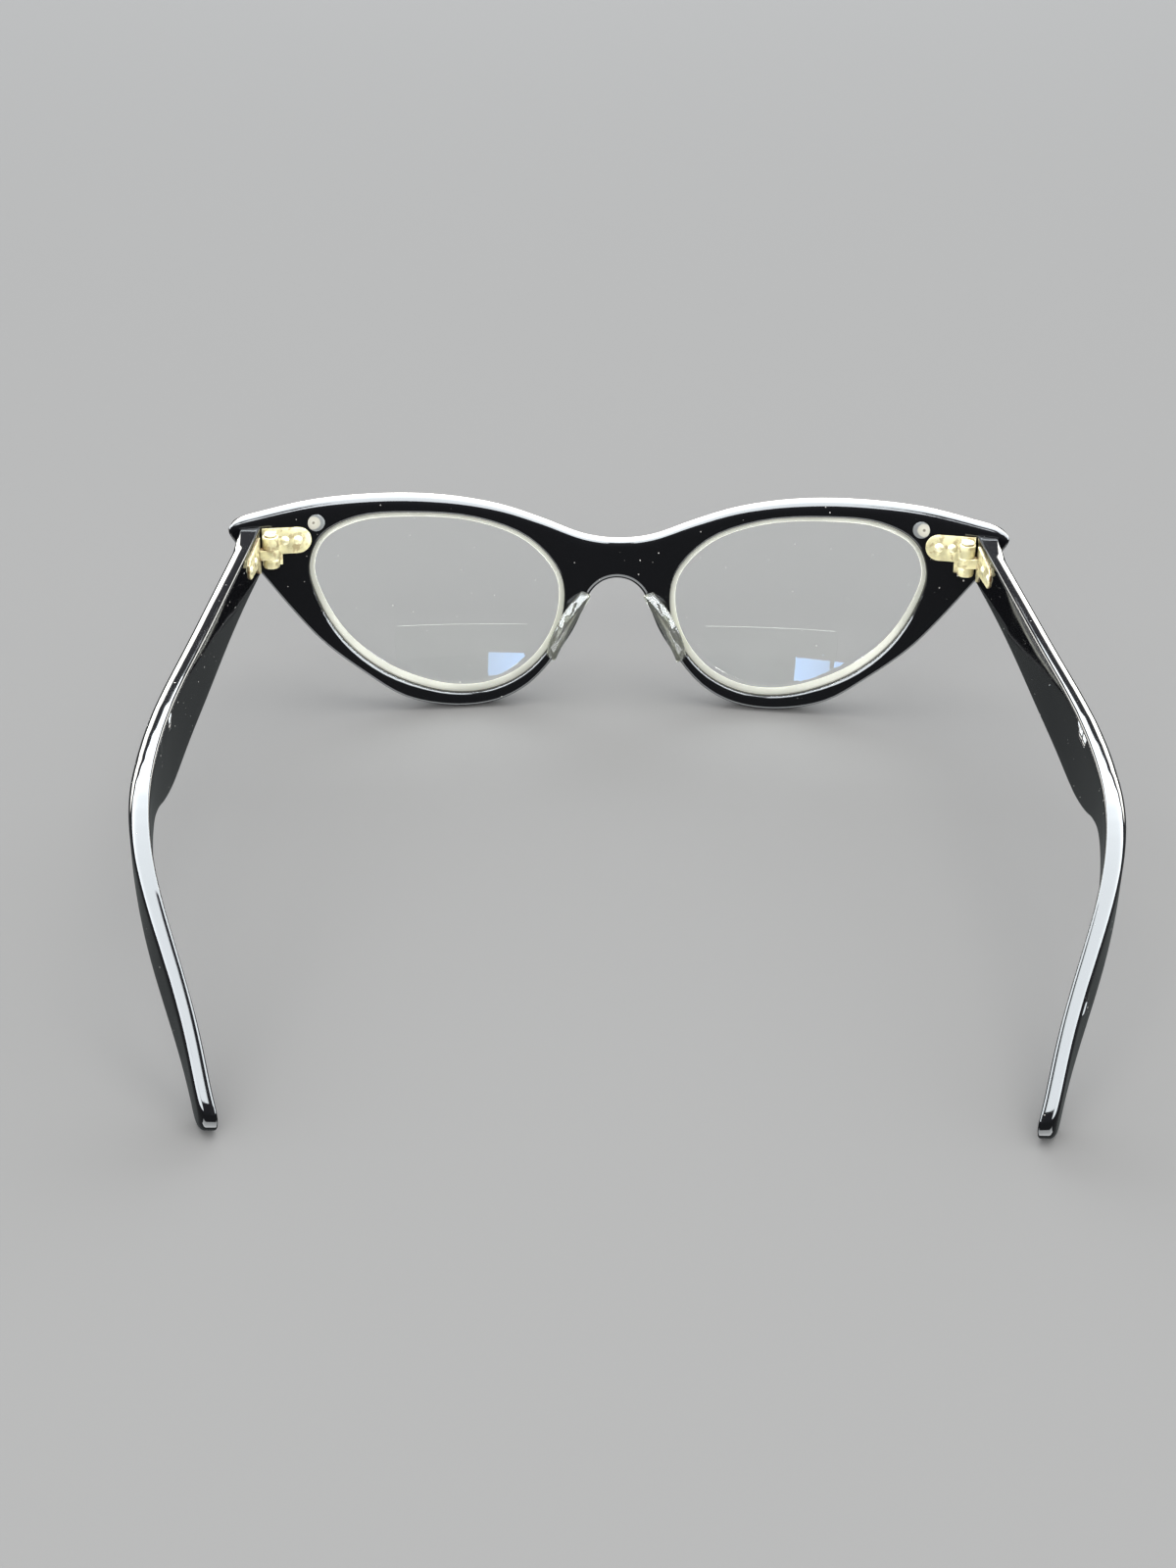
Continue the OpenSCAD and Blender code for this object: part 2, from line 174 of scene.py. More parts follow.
def smooth_loop(loop, softness, spacing):
    """Rounds off a closed polygon and spreads its points evenly, closer together in bends."""
    fine = 0.08 * MM
    length = np.sum(np.linalg.norm(np.diff(np.vstack([loop, loop[:1]]), axis=0), axis=1))
    dense = resampled(loop, np.ones(len(loop)), int(length / fine))
    waves = np.fft.fftfreq(len(dense), fine)
    blur = np.exp(-2 * (math.pi * softness * waves) ** 2)
    dense = np.column_stack([np.fft.ifft(np.fft.fft(dense[:, k]) * blur).real
                             for k in range(dense.shape[1])])
    step = np.roll(dense, -1, axis=0) - dense
    turn = np.unwrap(np.arctan2(step[:, 1], step[:, 0]))
    bend = np.abs(np.roll(turn, -6) - np.roll(turn, 6))
    bend[:6], bend[-6:] = 0, 0
    weights = 1 + 4 * np.minimum(bend, 1)
    return resampled(dense, weights, int(np.sum(np.linalg.norm(step, axis=1) * weights) / spacing))


def into_material(loop, inward):
    """Unit normals of a closed loop; inward says whether the material is inside the loop."""
    run = np.roll(loop, -1, axis=0) - np.roll(loop, 1, axis=0)
    run /= np.linalg.norm(run, axis=1)[:, None]
    left = np.column_stack([-run[:, 1], run[:, 0]])
    return left if (area_of(loop) > 0) == inward else -left


# ---- building closed sheets with rounded edges ----

def quarter_round(radius, steps=7):
    """Quarter circle from a face to the edge it meets, as (inset, depth below the face) pairs."""
    return [(radius * (1 - math.sin(a)), radius * (1 - math.cos(a)))
            for a in np.linspace(0, math.pi / 2, steps + 1)]


class Sheet:
    """Collects the points and faces of a sheet; place(a, b, depth) puts flat points in space."""

    def __init__(self, place):
        self.place = place
        self.points = []
        self.faces = []
        self.marks = []

    def add(self, flat, depth):
        first = len(self.points)
        self.points += list(self.place(flat[:, 0], flat[:, 1], depth))
        return np.arange(first, len(self.points))

    def strip(self, one, other, mark=0):
        for k in range(len(one)):
            n = (k + 1) % len(one)
            self.faces.append((one[k], one[n], other[n], other[k]))
            self.marks.append(mark)

    def patch(self, rims, depth, spacing, mark=0):
        """Fills the space between closed rims, each given as (flat points, point numbers)."""
        outer = rims[0][0]
        low, high = outer.min(0), outer.max(0)
        rows = np.arange(low[1] + spacing / 2, high[1], spacing * 0.87)
        grid = np.array([(x + spacing / 2 * (k % 2), y) for k, y in enumerate(rows)
                         for x in np.arange(low[0], high[0], spacing)])
        keep = within(grid, outer)
        for flat, _ in rims[1:]:
            keep &= ~within(grid, flat)
        grid = grid[keep]
        border = np.vstack([flat for flat, _ in rims])
        gaps = np.array([np.min(np.sum((border - p) ** 2, axis=1)) for p in grid])
        grid = grid[gaps > (0.55 * spacing) ** 2]
        numbers = np.concatenate([numbers for _, numbers in rims] + [self.add(grid, depth)])
        flat = np.vstack([border, grid])
        edges, first = [], 0
        for rim, _ in rims:
            edges += [(first + k, first + (k + 1) % len(rim)) for k in range(len(rim))]
            first += len(rim)
        made = delaunay_2d_cdt([Vector(p / MM) for p in flat], edges, [], 0, 1e-6)
        verts, triangles, sources = made[0], made[2], made[3]
        middles = np.array([np.mean([verts[k] for k in t], axis=0) for t in triangles]) * MM
        inside = within(middles, outer)
        for rim, _ in rims[1:]:
            inside &= ~within(middles, rim)
        for t, wanted in zip(triangles, inside):
            if wanted:
                self.faces.append(tuple(numbers[sources[k][0]] for k in t))
                self.marks.append(mark)

    def piece(self, name, materials, crease=40):
        mesh = bpy.data.meshes.new(name)
        mesh.from_pydata([tuple(p) for p in self.points], [],
                         [tuple(int(k) for k in f) for f in self.faces])
        for material in materials:
            mesh.materials.append(material)
        mesh.polygons.foreach_set("material_index", self.marks)
        form = bmesh.new()
        form.from_mesh(mesh)
        bmesh.ops.recalc_face_normals(form, faces=form.faces)
        form.to_mesh(mesh)
        form.free()
        mesh.polygons.foreach_set("use_smooth", [True] * len(mesh.polygons))
        mesh.set_sharp_from_angle(angle=math.radians(crease))
        piece = bpy.data.objects.new(name, mesh)
        bpy.context.scene.collection.objects.link(piece)
        return piece


def within(points, loop):
    """Which points lie inside a closed loop."""
    inside = np.zeros(len(points), bool)
    ends = np.roll(loop, -1, axis=0)
    for (ax, ay), (bx, by) in zip(loop, ends):
        if ay != by:
            crosses = (points[:, 1] > ay) != (points[:, 1] > by)
            at = ax + (points[:, 1] - ay) * (bx - ax) / (by - ay)
            inside ^= crosses & (points[:, 0] < at)
    return inside


def room_for(loop, normals, inset, wanted):
    """Share of an inset to use point by point: less than wanted in bends tighter than it."""
    def spans(points):
        return np.linalg.norm(points[:, None] - loop[None], axis=2)

    spread = 0.3 * spans(loop) / inset
    room = np.full(len(loop), 0.05)
    for share in np.linspace(0.05, 1, 20):
        clear = spans(loop + normals * inset * share).min(axis=1) > 0.97 * inset * share
        room = np.where(clear, share, room)
    room = np.min(np.minimum(room, wanted)[None] + spread, axis=1)
    run = np.roll(loop, -1, axis=0) - loop
    for _ in range(60):
        moved = loop + normals * (inset * room)[:, None]
        moved = np.roll(moved, -1, axis=0) - moved
        folded = np.sum(run * moved, axis=1) < 0.12 * np.sum(run * run, axis=1)
        folded |= np.roll(folded, 1)
        if not folded.any():
            break
        room = np.min(np.where(folded, 0.85 * room, room)[None] + spread, axis=1)
    return room


def sweep_edge(sheet, loop, normals, radii, thickness, share=1.0, groove=()):
    """Runs an edge round a loop and returns its back and front rims. radii are the roundings at
    the back and at the front, share scales the one at the back point by point, and groove holds
    (inset, depth) pairs between them."""
    even = np.ones(len(loop))
    scales = [room_for(loop, normals, radius, wanted)
              for radius, wanted in zip(radii, (share, 1.0))]
    profile = [(inset * scales[0], depth * scales[0]) for inset, depth in quarter_round(radii[0])]
    profile += [(inset * even, depth * even) for inset, depth in groove]
    profile += [(inset * scales[1], thickness - depth * scales[1])
                for inset, depth in reversed(quarter_round(radii[1]))]
    flats = [loop + normals * insets[:, None] for insets, _ in profile]
    rings = [(flat, sheet.add(flat, depths)) for flat, (_, depths) in zip(flats, profile)]
    for one, other in zip(rings, rings[1:]):
        sheet.strip(one[1], other[1])
    return rings[0], rings[-1]


# ---- the curved space of the front ----

def upright(points):
    """Undoes the lean of the front: x stays, y is depth and z is height along the front."""
    c, s = math.cos(FRONT_LEAN), math.sin(FRONT_LEAN)
    x, y, z = points[:, 0], points[:, 1], points[:, 2]
    return np.column_stack([x, y * c - z * s, y * s + z * c])


def leaned(x, y, z):
    c, s = math.cos(FRONT_LEAN), math.sin(FRONT_LEAN)
    return np.column_stack([x, y * c + z * s, z * c - y * s])


front_points, front_faces = cad_mesh("front_frame")
front_upright = upright(front_points)
# y of the back face at the middle, and the thickness of the acetate
FRONT_FOOT = float(np.min(front_upright[:, 1] + FACE_RADIUS
                          - np.sqrt(FACE_RADIUS ** 2 - front_upright[:, 0] ** 2)))


def depth_in_front(points):
    """Distance of upright points before the back face of the front."""
    return np.hypot(points[:, 0], points[:, 1] - FRONT_FOOT + FACE_RADIUS) - FACE_RADIUS


FRONT_THICKNESS = float(np.max(depth_in_front(front_upright)))


def on_front(x, z, depth):
    y = np.sqrt((FACE_RADIUS + depth) ** 2 - x ** 2) - FACE_RADIUS + FRONT_FOOT
    return leaned(x, y, z)


def front_outlines():
    """Outer outline and the two lens openings, as x and height on the back face."""
    depth = depth_in_front(front_upright)
    back = front_faces[np.all(depth[front_faces] < 1e-5, axis=1)]
    loops = [front_upright[loop][:, [0, 2]] for loop in border_loops(back)]
    loops.sort(key=lambda loop: -abs(area_of(loop)))
    outer = smooth_loop(loops[0], 0.3 * MM, EDGE_STEP)
    openings = {side: smooth_loop(next(p for p in loops[1:3] if p[:, 0].mean() * sign > 0),
                                  0.3 * MM, EDGE_STEP)
                for side, sign in SIDES.items()}
    return outer, openings


# ---- pieces ----

def build_front(outer, openings, material):
    sheet = Sheet(on_front)
    normals = into_material(outer, True)
    upward = np.clip((-normals[:, 1] - 0.1) / 0.5, 0, 1)
    brow = np.interp(np.abs(outer[:, 0]), BROW_REACH, BROW_SHARE)
    arch = np.clip((ARCH_REACH - np.abs(outer[:, 0])) / (4 * MM), 0, 1) * (normals[:, 1] > 0)
    share = BACK_ROUND_LOW + (brow - BACK_ROUND_LOW) * upward + (1 - BACK_ROUND_LOW) * arch
    back, front = sweep_edge(sheet, outer, normals, (BACK_ROUND, FRONT_ROUND),
                             FRONT_THICKNESS, share)
    backs, fronts = [back], [front]
    middle = FRONT_THICKNESS / 2
    groove = [(0, middle - GROOVE_LIP), (GROOVE_DEPTH, middle - GROOVE_FLOOR),
              (GROOVE_DEPTH, middle + GROOVE_FLOOR), (0, middle + GROOVE_LIP)]
    for opening in openings.values():
        back, front = sweep_edge(sheet, opening, into_material(opening, False),
                                 (RIM_ROUND, RIM_ROUND), FRONT_THICKNESS, groove=groove)
        backs.append(back)
        fronts.append(front)
    sheet.patch(backs, 0.0, FACE_STEP)
    sheet.patch(fronts, FRONT_THICKNESS, FACE_STEP)
    piece = sheet.piece("front_acetate", [material])
    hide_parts("front_frame")
    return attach(piece, "front")


def temple_space(side):
    """Outline of a temple from the side, and the function that bends it to the head."""
    sign = SIDES[side]
    points, faces = cad_mesh(side + "_temple")
    normals = face_normals(points, faces)
    loops = {}
    for name, way in (("outer", 1), ("inner", -1)):
        patch = faces[normals[:, 0] * sign * way > 0.6]
        loops[name] = points[border_loops(patch)[0]]
    curves = {}
    for name, loop in loops.items():
        order = np.argsort(loop[:, 1])
        y, x = loop[order, 1], loop[order, 0]
        cells = np.linspace(y[0], y[-1], 400)
        curves[name] = np.polynomial.Chebyshev.fit(cells, np.interp(cells, y, x), BOW_DEGREE)
    butt = loops["outer"][:, 1].max()
    slant = loops["inner"][:, 1].max() - butt

    def place(y, z, share):
        outside, inside = curves["outer"](y), curves["inner"](y)
        near_butt = np.clip(1 - (butt - y) / TEMPLE_BUTT, 0, 1)
        shifted = y + share * slant * near_butt ** 2 * (3 - 2 * near_butt)
        return np.column_stack([outside + (inside - outside) * share, shifted, z])

    return loops["outer"][:, 1:], place, butt


def build_temple(side, material):
    outline, place, butt = temple_space(side)
    loop = smooth_loop(outline, 0.35 * MM, 0.6 * MM)
    sheet = Sheet(lambda y, z, depth: place(y, z, depth / TEMPLE_THICKNESS))
    share = np.interp(butt - loop[:, 0], TEMPLE_REACH, TEMPLE_SHARE)
    outer, inner = sweep_edge(sheet, loop, into_material(loop, True), TEMPLE_ROUND,
                              TEMPLE_THICKNESS, share)
    sheet.patch([outer], 0.0, FACE_STEP)
    sheet.patch([inner], TEMPLE_THICKNESS, FACE_STEP)
    piece = sheet.piece(side + "_temple_acetate", [material])
    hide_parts(side + "_temple")
    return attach(piece, side + "_temple_arm")


def lens_space(side, opening):
    """Functions that give the y of a lens's two surfaces from x and height."""
    low, high = opening.min(0), opening.max(0)
    middle_x, middle_z = (low + high) / 2
    turn = math.asin(middle_x / FACE_RADIUS)
    across, along = math.sin(turn), math.cos(turn)

    def surface(radius, crown):
        reach = FACE_RADIUS + crown - radius
        centre_x, centre_y = across * reach, along * reach - FACE_RADIUS + FRONT_FOOT
        return lambda x, z: centre_y + np.sqrt(
            radius ** 2 - (x - centre_x) ** 2 - (z - middle_z) ** 2)

    crown = FRONT_THICKNESS + LENS_PROUD
    return surface(FRONT_CURVE, crown), surface(BACK_CURVE, crown - LENS_THICKNESS)


def build_lens(side, opening, clear, ground):
    front_y, back_y = lens_space(side, opening)
    normals = into_material(opening, False)
    centre = (opening.min(0) + opening.max(0)) / 2
    middle = FRONT_THICKNESS / 2
    sheet = Sheet(lambda x, z, y: leaned(x, y, z))

    lowness = (1 - normals[:, 1]) / 2
    ring = LENS_RING[0] + (LENS_RING[1] - LENS_RING[0]) * lowness ** 2

    def rim(inset, depth=None, surface=None):
        flat = opening - normals * (inset * np.ones(len(opening)))[:, None]
        y = surface(*flat.T) if surface else (
            np.sqrt((FACE_RADIUS + depth) ** 2 - flat[:, 0] ** 2) - FACE_RADIUS + FRONT_FOOT)
        return flat, y

    def surface_rims(inset, surface):
        """Rims of ever smaller size from the edge of a surface to its middle."""
        edge = opening - normals * (inset * np.ones(len(opening)))[:, None]
        rims = []
        for share in np.linspace(1, 0.04, 16) ** 0.9:
            flat = centre + (edge - centre) * share
            rims.append((flat, surface(*flat.T)))
        return rims

    back = surface_rims(ring, back_y)
    edge = [
        rim(ring - 0.12 * MM, surface=lambda x, z: back_y(x, z) + 0.02 * MM),
        rim(LENS_PLAY + 0.12 * MM, middle - BEVEL_HALF - BEVEL_EASE),
        rim(LENS_PLAY, middle - BEVEL_HALF),
        rim(LENS_PLAY - BEVEL_HEIGHT, middle),
        rim(LENS_PLAY, middle + BEVEL_HALF),
        rim(LENS_PLAY + BEVEL_EASE, middle + BEVEL_HALF + BEVEL_EASE),
        rim(LENS_PLAY + 0.3 * MM, surface=lambda x, z: front_y(x, z) - 0.03 * MM),
    ]
    front = surface_rims(LENS_PLAY + 0.4 * MM, front_y)
    rims = back[::-1] + edge + front
    numbers = [sheet.add(flat, y) for flat, y in rims]
    first_ground = len(back) - 1
    for k, (one, other) in enumerate(zip(numbers, numbers[1:])):
        on_edge = first_ground <= k < first_ground + 5
        sheet.strip(one, other, 1 if on_edge else 0)
    for last, surface in ((numbers[0], back_y), (numbers[-1], front_y)):
        flat = centre[None, :]
        hub = sheet.add(flat, surface(*flat.T))[0]
        for k in range(len(last)):
            sheet.faces.append((last[k], last[(k + 1) % len(last)], hub))
            sheet.marks.append(0)
    piece = sheet.piece(side + "_lens_glass", [clear, ground], crease=25)
    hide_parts(side + "_lens")
    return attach(piece, "front")


def build_segment(side, opening, glass, line):
    """The reading segment: a thin D of denser glass just below the front surface of the lens."""
    front_y, _ = lens_space(side, opening)
    points, faces = cad_mesh(side + "_bifocal_segment")
    normals = face_normals(points, faces)
    patch = faces[normals[:, 1] > 0.6]
    outline = upright(points)[border_loops(patch)[0]][:, [0, 2]]
    loop = smooth_loop(outline, 0.1 * MM, 0.45 * MM)
    top = loop[:, 1].max()
    sheet = Sheet(lambda x, z, depth: leaned(x, front_y(x, z) - SEGMENT_INSET - depth, z))
    normals = into_material(loop, True)
    rings = []
    for inset, depth in [(0.04 * MM, 0), (0, 0.04 * MM), (0, SEGMENT_DEPTH - 0.04 * MM),
                         (0.04 * MM, SEGMENT_DEPTH)]:
        flat = loop + normals * inset
        rings.append((flat, sheet.add(flat, np.full(len(flat), depth))))
    on_top = loop[:, 1] > top - 0.06 * MM
    for one, other in zip(rings, rings[1:]):
        for k in range(len(loop)):
            n = (k + 1) % len(loop)
            sheet.faces.append((one[1][k], one[1][n], other[1][n], other[1][k]))
            sheet.marks.append(1 if on_top[k] and on_top[n] else 0)
    sheet.patch([rings[0]], 0.0, 1.4 * MM)
    sheet.patch([rings[-1]], SEGMENT_DEPTH, 1.4 * MM)
    piece = sheet.piece(side + "_segment_glass", [glass, line], crease=30)
    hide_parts(side + "_bifocal_segment")
    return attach(piece, "front")


def build_pad(side, material):
    """A nose pad: a rounded slip of clear acetate with its foot bonded to the rim."""
    mount = next(m for m in frame["record"]["mounts"] if m["name"] == side + "_nose_pad_face")
    out = np.array(mount["axis"], float)
    points, faces = cad_mesh(side + "_nose_pad")
    patch = faces[face_normals(points, faces) @ out > 0.999]
    face = points[border_loops(patch)[0]]
    centre = face.mean(0)
    up = np.array([0.0, math.sin(FRONT_LEAN), math.cos(FRONT_LEAN)])
    up -= out * (up @ out)
    up /= np.linalg.norm(up)
    across = np.cross(out, up)
    flat = np.column_stack([(face - centre) @ across, (face - centre) @ up])
    loop = smooth_loop(flat, 0.5 * MM, 0.4 * MM)
    thickness = float(np.max((centre - points) @ out))
    back_along = np.array([0.0, -1.0, 0.0]) @ across
    reach = loop[:, 0] * np.sign(back_along)
    share = 0.15 + 0.85 * np.clip((reach - reach.min()) / PAD_FOOT, 0, 1)

    def place(a, b, depth):
        depth = np.broadcast_to(depth, a.shape)
        return (centre + np.outer(a, across) + np.outer(b, up) - np.outer(depth, out))

    sheet = Sheet(place)
    front, back = sweep_edge(sheet, loop, into_material(loop, True),
                             (PAD_ROUND, PAD_ROUND), thickness, share)
    sheet.patch([front], 0.0, 0.8 * MM)
    sheet.patch([back], thickness, 0.8 * MM)
    piece = sheet.piece(side + "_pad_crystal", [material])
    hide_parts(side + "_nose_pad")
    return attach(piece, "front")


# ---- materials ----

def new_material(name):
    material = bpy.data.materials.new(name)
    material.use_nodes = True
    tree = material.node_tree
    tree.nodes.clear()
    return material, tree


def node(tree, kind, inputs=None, **settings):
    made = tree.nodes.new(kind)
    for key, value in settings.items():
        setattr(made, key, value)
    for key, value in (inputs or {}).items():
        if isinstance(value, bpy.types.NodeSocket):
            tree.links.new(value, made.inputs[key])
        else:
            made.inputs[key].default_value = value
    return made


def calc(tree, operation, *values):
    return node(tree, "ShaderNodeMath", dict(enumerate(values)), operation=operation).outputs[0]


def ramp(tree, value, stops):
    made = node(tree, "ShaderNodeValToRGB", {"Fac": value})
    elements = made.color_ramp.elements
    while len(elements) < len(stops):
        elements.new(0.5)
    for element, (position, shade) in zip(elements, stops):
        element.position = position
        element.color = (*shade, 1) if len(shade) == 3 else shade
    return made.outputs["Color"]


def grey(value):
    return (value, value, value)


def dust_specks(tree, place, scale, rarity, size):
    """1 inside scattered round specks of uneven size, 0 elsewhere."""
    cells = node(tree, "ShaderNodeTexVoronoi", {"Vector": place, "Scale": scale,
                                                "Randomness": 1.0})
    chance = node(tree, "ShaderNodeTexWhiteNoise", {"Vector": cells.outputs["Position"]},
                  noise_dimensions="3D")
    reach = calc(tree, "MULTIPLY", calc(tree, "POWER", chance.outputs["Value"], rarity), size)
    return calc(tree, "LESS_THAN", cells.outputs["Distance"], reach)


def acetate_material(name, tint):
    """Polished black acetate with fine dust, hairline scratches and a faint waviness."""
    material, tree = new_material(name)
    place = node(tree, "ShaderNodeTexCoord").outputs["Object"]
    dust = dust_specks(tree, place, 1300.0, 12.0, 0.2)
    film = node(tree, "ShaderNodeTexNoise", {"Vector": place, "Scale": 140.0, "Detail": 6.0,
                                             "Roughness": 0.6})
    rough = ramp(tree, film.outputs["Fac"], [(0.35, grey(0.03)), (0.72, grey(0.09))])
    streaks = node(tree, "ShaderNodeMapping", {"Vector": place, "Scale": (400, 400, 9000)})
    hairs = node(tree, "ShaderNodeTexNoise", {"Vector": streaks.outputs["Vector"], "Scale": 1.0,
                                              "Detail": 2.0})
    scratch = ramp(tree, hairs.outputs["Fac"], [(0.68, grey(0)), (0.74, grey(1))])
    waves = node(tree, "ShaderNodeTexNoise", {"Vector": place, "Scale": 60.0, "Detail": 1.0})
    wavy = node(tree, "ShaderNodeBump", {"Height": waves.outputs["Fac"], "Strength": 0.14,
                                         "Distance": 0.0006})
    worn = node(tree, "ShaderNodeBump", {"Height": scratch, "Strength": 0.05,
                                         "Distance": 0.00002, "Normal": wavy.outputs["Normal"]})
    colour = node(tree, "ShaderNodeMix", {"Factor": dust, "A": (*tint, 1),
                                          "B": (0.55, 0.53, 0.5, 1)}, data_type="RGBA")
    roughness = node(tree, "ShaderNodeMix", {"Factor": dust, "A": rough, "B": (0.8, 0.8, 0.8, 1)},
                     data_type="RGBA")
    surface = node(tree, "ShaderNodeBsdfPrincipled", {
        "Base Color": colour.outputs["Result"], "Roughness": roughness.outputs["Result"],
        "IOR": 1.49, "Normal": worn.outputs["Normal"]})
    node(tree, "ShaderNodeOutputMaterial", {"Surface": surface.outputs["BSDF"]})
    return material


def clear_material(name, tint, ior, dusty):
    """Clear glass that lets light through to the floor instead of casting a dark shadow."""
    material, tree = new_material(name)
    place = node(tree, "ShaderNodeTexCoord").outputs["Object"]
    streaks = node(tree, "ShaderNodeMapping",
                   {"Vector": place, "Scale": (260, 260, 5200), "Rotation": (0, 0.5, 0)})
    hairs = node(tree, "ShaderNodeTexNoise", {"Vector": streaks.outputs["Vector"], "Scale": 1.0,
                                              "Detail": 1.5})
    scratch = ramp(tree, hairs.outputs["Fac"], [(0.74, grey(0)), (0.8, grey(1))])
    worn = node(tree, "ShaderNodeBump", {"Height": scratch, "Strength": 0.06,
                                         "Distance": 0.00001})
    surface = node(tree, "ShaderNodeBsdfPrincipled", {
        "Base Color": (*tint, 1), "Roughness": 0.0, "IOR": ior,
        "Transmission Weight": 1.0, "Normal": worn.outputs["Normal"]})
    dull = node(tree, "ShaderNodeBsdfDiffuse", {"Color": (0.95, 0.95, 0.93, 1)})
    specks = dust_specks(tree, place, 1100.0, 16.0, 0.13 if dusty else 0.0)
    surface = node(tree, "ShaderNodeMixShader", {0: specks, 1: surface.outputs["BSDF"],
                                                 2: dull.outputs["BSDF"]})
    through = node(tree, "ShaderNodeBsdfTransparent", {"Color": (*tint, 1)})
    path = node(tree, "ShaderNodeLightPath")
    mixed = node(tree, "ShaderNodeMixShader", {0: path.outputs["Is Shadow Ray"],
                                               1: surface.outputs["Shader"],
                                               2: through.outputs["BSDF"]})
    node(tree, "ShaderNodeOutputMaterial", {"Surface": mixed.outputs["Shader"]})
    return material


def ground_glass_material(name, tint):
    """The finely ground, slightly yellowed edge of a lens, made brighter by a painted glow of
    emission.
    """
    material, tree = new_material(name)
    place = node(tree, "ShaderNodeTexCoord").outputs["Object"]
    grain = node(tree, "ShaderNodeTexNoise", {"Vector": place, "Scale": 2600.0, "Detail": 4.0})
    cloud = node(tree, "ShaderNodeTexNoise", {"Vector": place, "Scale": 170.0, "Detail": 3.0})
    darker = tuple(0.86 * c for c in tint)
    colour = ramp(tree, cloud.outputs["Fac"], [(0.36, darker), (0.6, tint)])
    rough = node(tree, "ShaderNodeBump", {"Height": grain.outputs["Fac"], "Strength": 0.3,
                                          "Distance": 0.00004})
    # painted glow: the edge emits light in its own colour
    surface = node(tree, "ShaderNodeBsdfPrincipled", {
        "Base Color": colour, "Roughness": 0.45, "IOR": 1.5, "Normal": rough.outputs["Normal"],
        "Emission Color": colour, "Emission Strength": PAINTED_EDGE_GLOW})
    node(tree, "ShaderNodeOutputMaterial", {"Surface": surface.outputs["BSDF"]})
    return material


def crystal_material(name):
    """Clear acetate, yellowed with age in a cloudy tint, with faint dents."""
    material, tree = new_material(name)
    place = node(tree, "ShaderNodeTexCoord").outputs["Object"]
    cloud = node(tree, "ShaderNodeTexNoise", {"Vector": place, "Scale": 420.0, "Detail": 4.0})
    colour = ramp(tree, cloud.outputs["Fac"], [(0.36, (0.90, 0.92, 0.74)), (0.6, (0.98, 0.99, 0.93))])
    dents = node(tree, "ShaderNodeBump", {"Height": cloud.outputs["Fac"], "Strength": 0.12,
                                          "Distance": 0.0002})
    surface = node(tree, "ShaderNodeBsdfPrincipled", {
        "Base Color": colour, "Roughness": 0.05, "IOR": 1.47, "Transmission Weight": 0.82,
        "Normal": dents.outputs["Normal"]})
    through = node(tree, "ShaderNodeBsdfTransparent", {"Color": (0.8, 0.82, 0.68, 1)})
    path = node(tree, "ShaderNodeLightPath")
    mixed = node(tree, "ShaderNodeMixShader", {0: path.outputs["Is Shadow Ray"],
                                               1: surface.outputs["BSDF"],
                                               2: through.outputs["BSDF"]})
    node(tree, "ShaderNodeOutputMaterial", {"Surface": mixed.outputs["Shader"]})
    return material


def brass_material(name, bright, tarnish, spots=0.6):
    """Pale, worn plated brass with clouded patches, brown tarnish in random patches, fine pitting,
    and brown in the recesses that ambient occlusion finds.
    """
    material, tree = new_material(name)
    place = node(tree, "ShaderNodeTexCoord").outputs["Object"]
    cloud = node(tree, "ShaderNodeTexNoise", {"Vector": place, "Scale": 700.0, "Detail": 5.0,
                                              "Roughness": 0.65})
    dull = tuple(0.78 * c for c in bright)
    base = ramp(tree, cloud.outputs["Fac"], [(0.35, dull), (0.65, bright)])
    patches = node(tree, "ShaderNodeTexNoise", {"Vector": place, "Scale": 900.0, "Detail": 3.0})
    # browner and less metallic in recesses found by ambient occlusion, such as the gaps between the
    # barrels
    corners = node(tree, "ShaderNodeAmbientOcclusion", {"Distance": 0.0006},
                   samples=8).outputs["AO"]
    recessed = ramp(tree, corners, [(0.4, grey(1)), (0.85, grey(0))])
    blot = ramp(tree, patches.outputs["Fac"], [(spots - 0.03, grey(0)), (spots + 0.05, grey(1))])
    browning = node(tree, "ShaderNodeMix", {"Factor": 0.5, "A": recessed, "B": blot},
                data_type="RGBA", blend_type="ADD", clamp_result=True)
    colour = node(tree, "ShaderNodeMix", {"Factor": browning.outputs["Result"], "A": base,
                                          "B": (*tarnish, 1)}, data_type="RGBA")
    rough = ramp(tree, cloud.outputs["Fac"], [(0.3, grey(0.36)), (0.7, grey(0.58))])
    shine = calc(tree, "MULTIPLY_ADD", browning.outputs["Result"], -0.25, 0.38)
    pits = node(tree, "ShaderNodeTexNoise", {"Vector": place, "Scale": 3200.0, "Detail": 2.0})
    pitted = node(tree, "ShaderNodeBump", {"Height": pits.outputs["Fac"], "Strength": 0.25,
                                           "Distance": 0.00004})
    surface = node(tree, "ShaderNodeBsdfPrincipled", {
        "Base Color": colour.outputs["Result"], "Metallic": shine, "Roughness": rough,
        "Normal": pitted.outputs["Normal"]})
    node(tree, "ShaderNodeOutputMaterial", {"Surface": surface.outputs["BSDF"]})
    return material


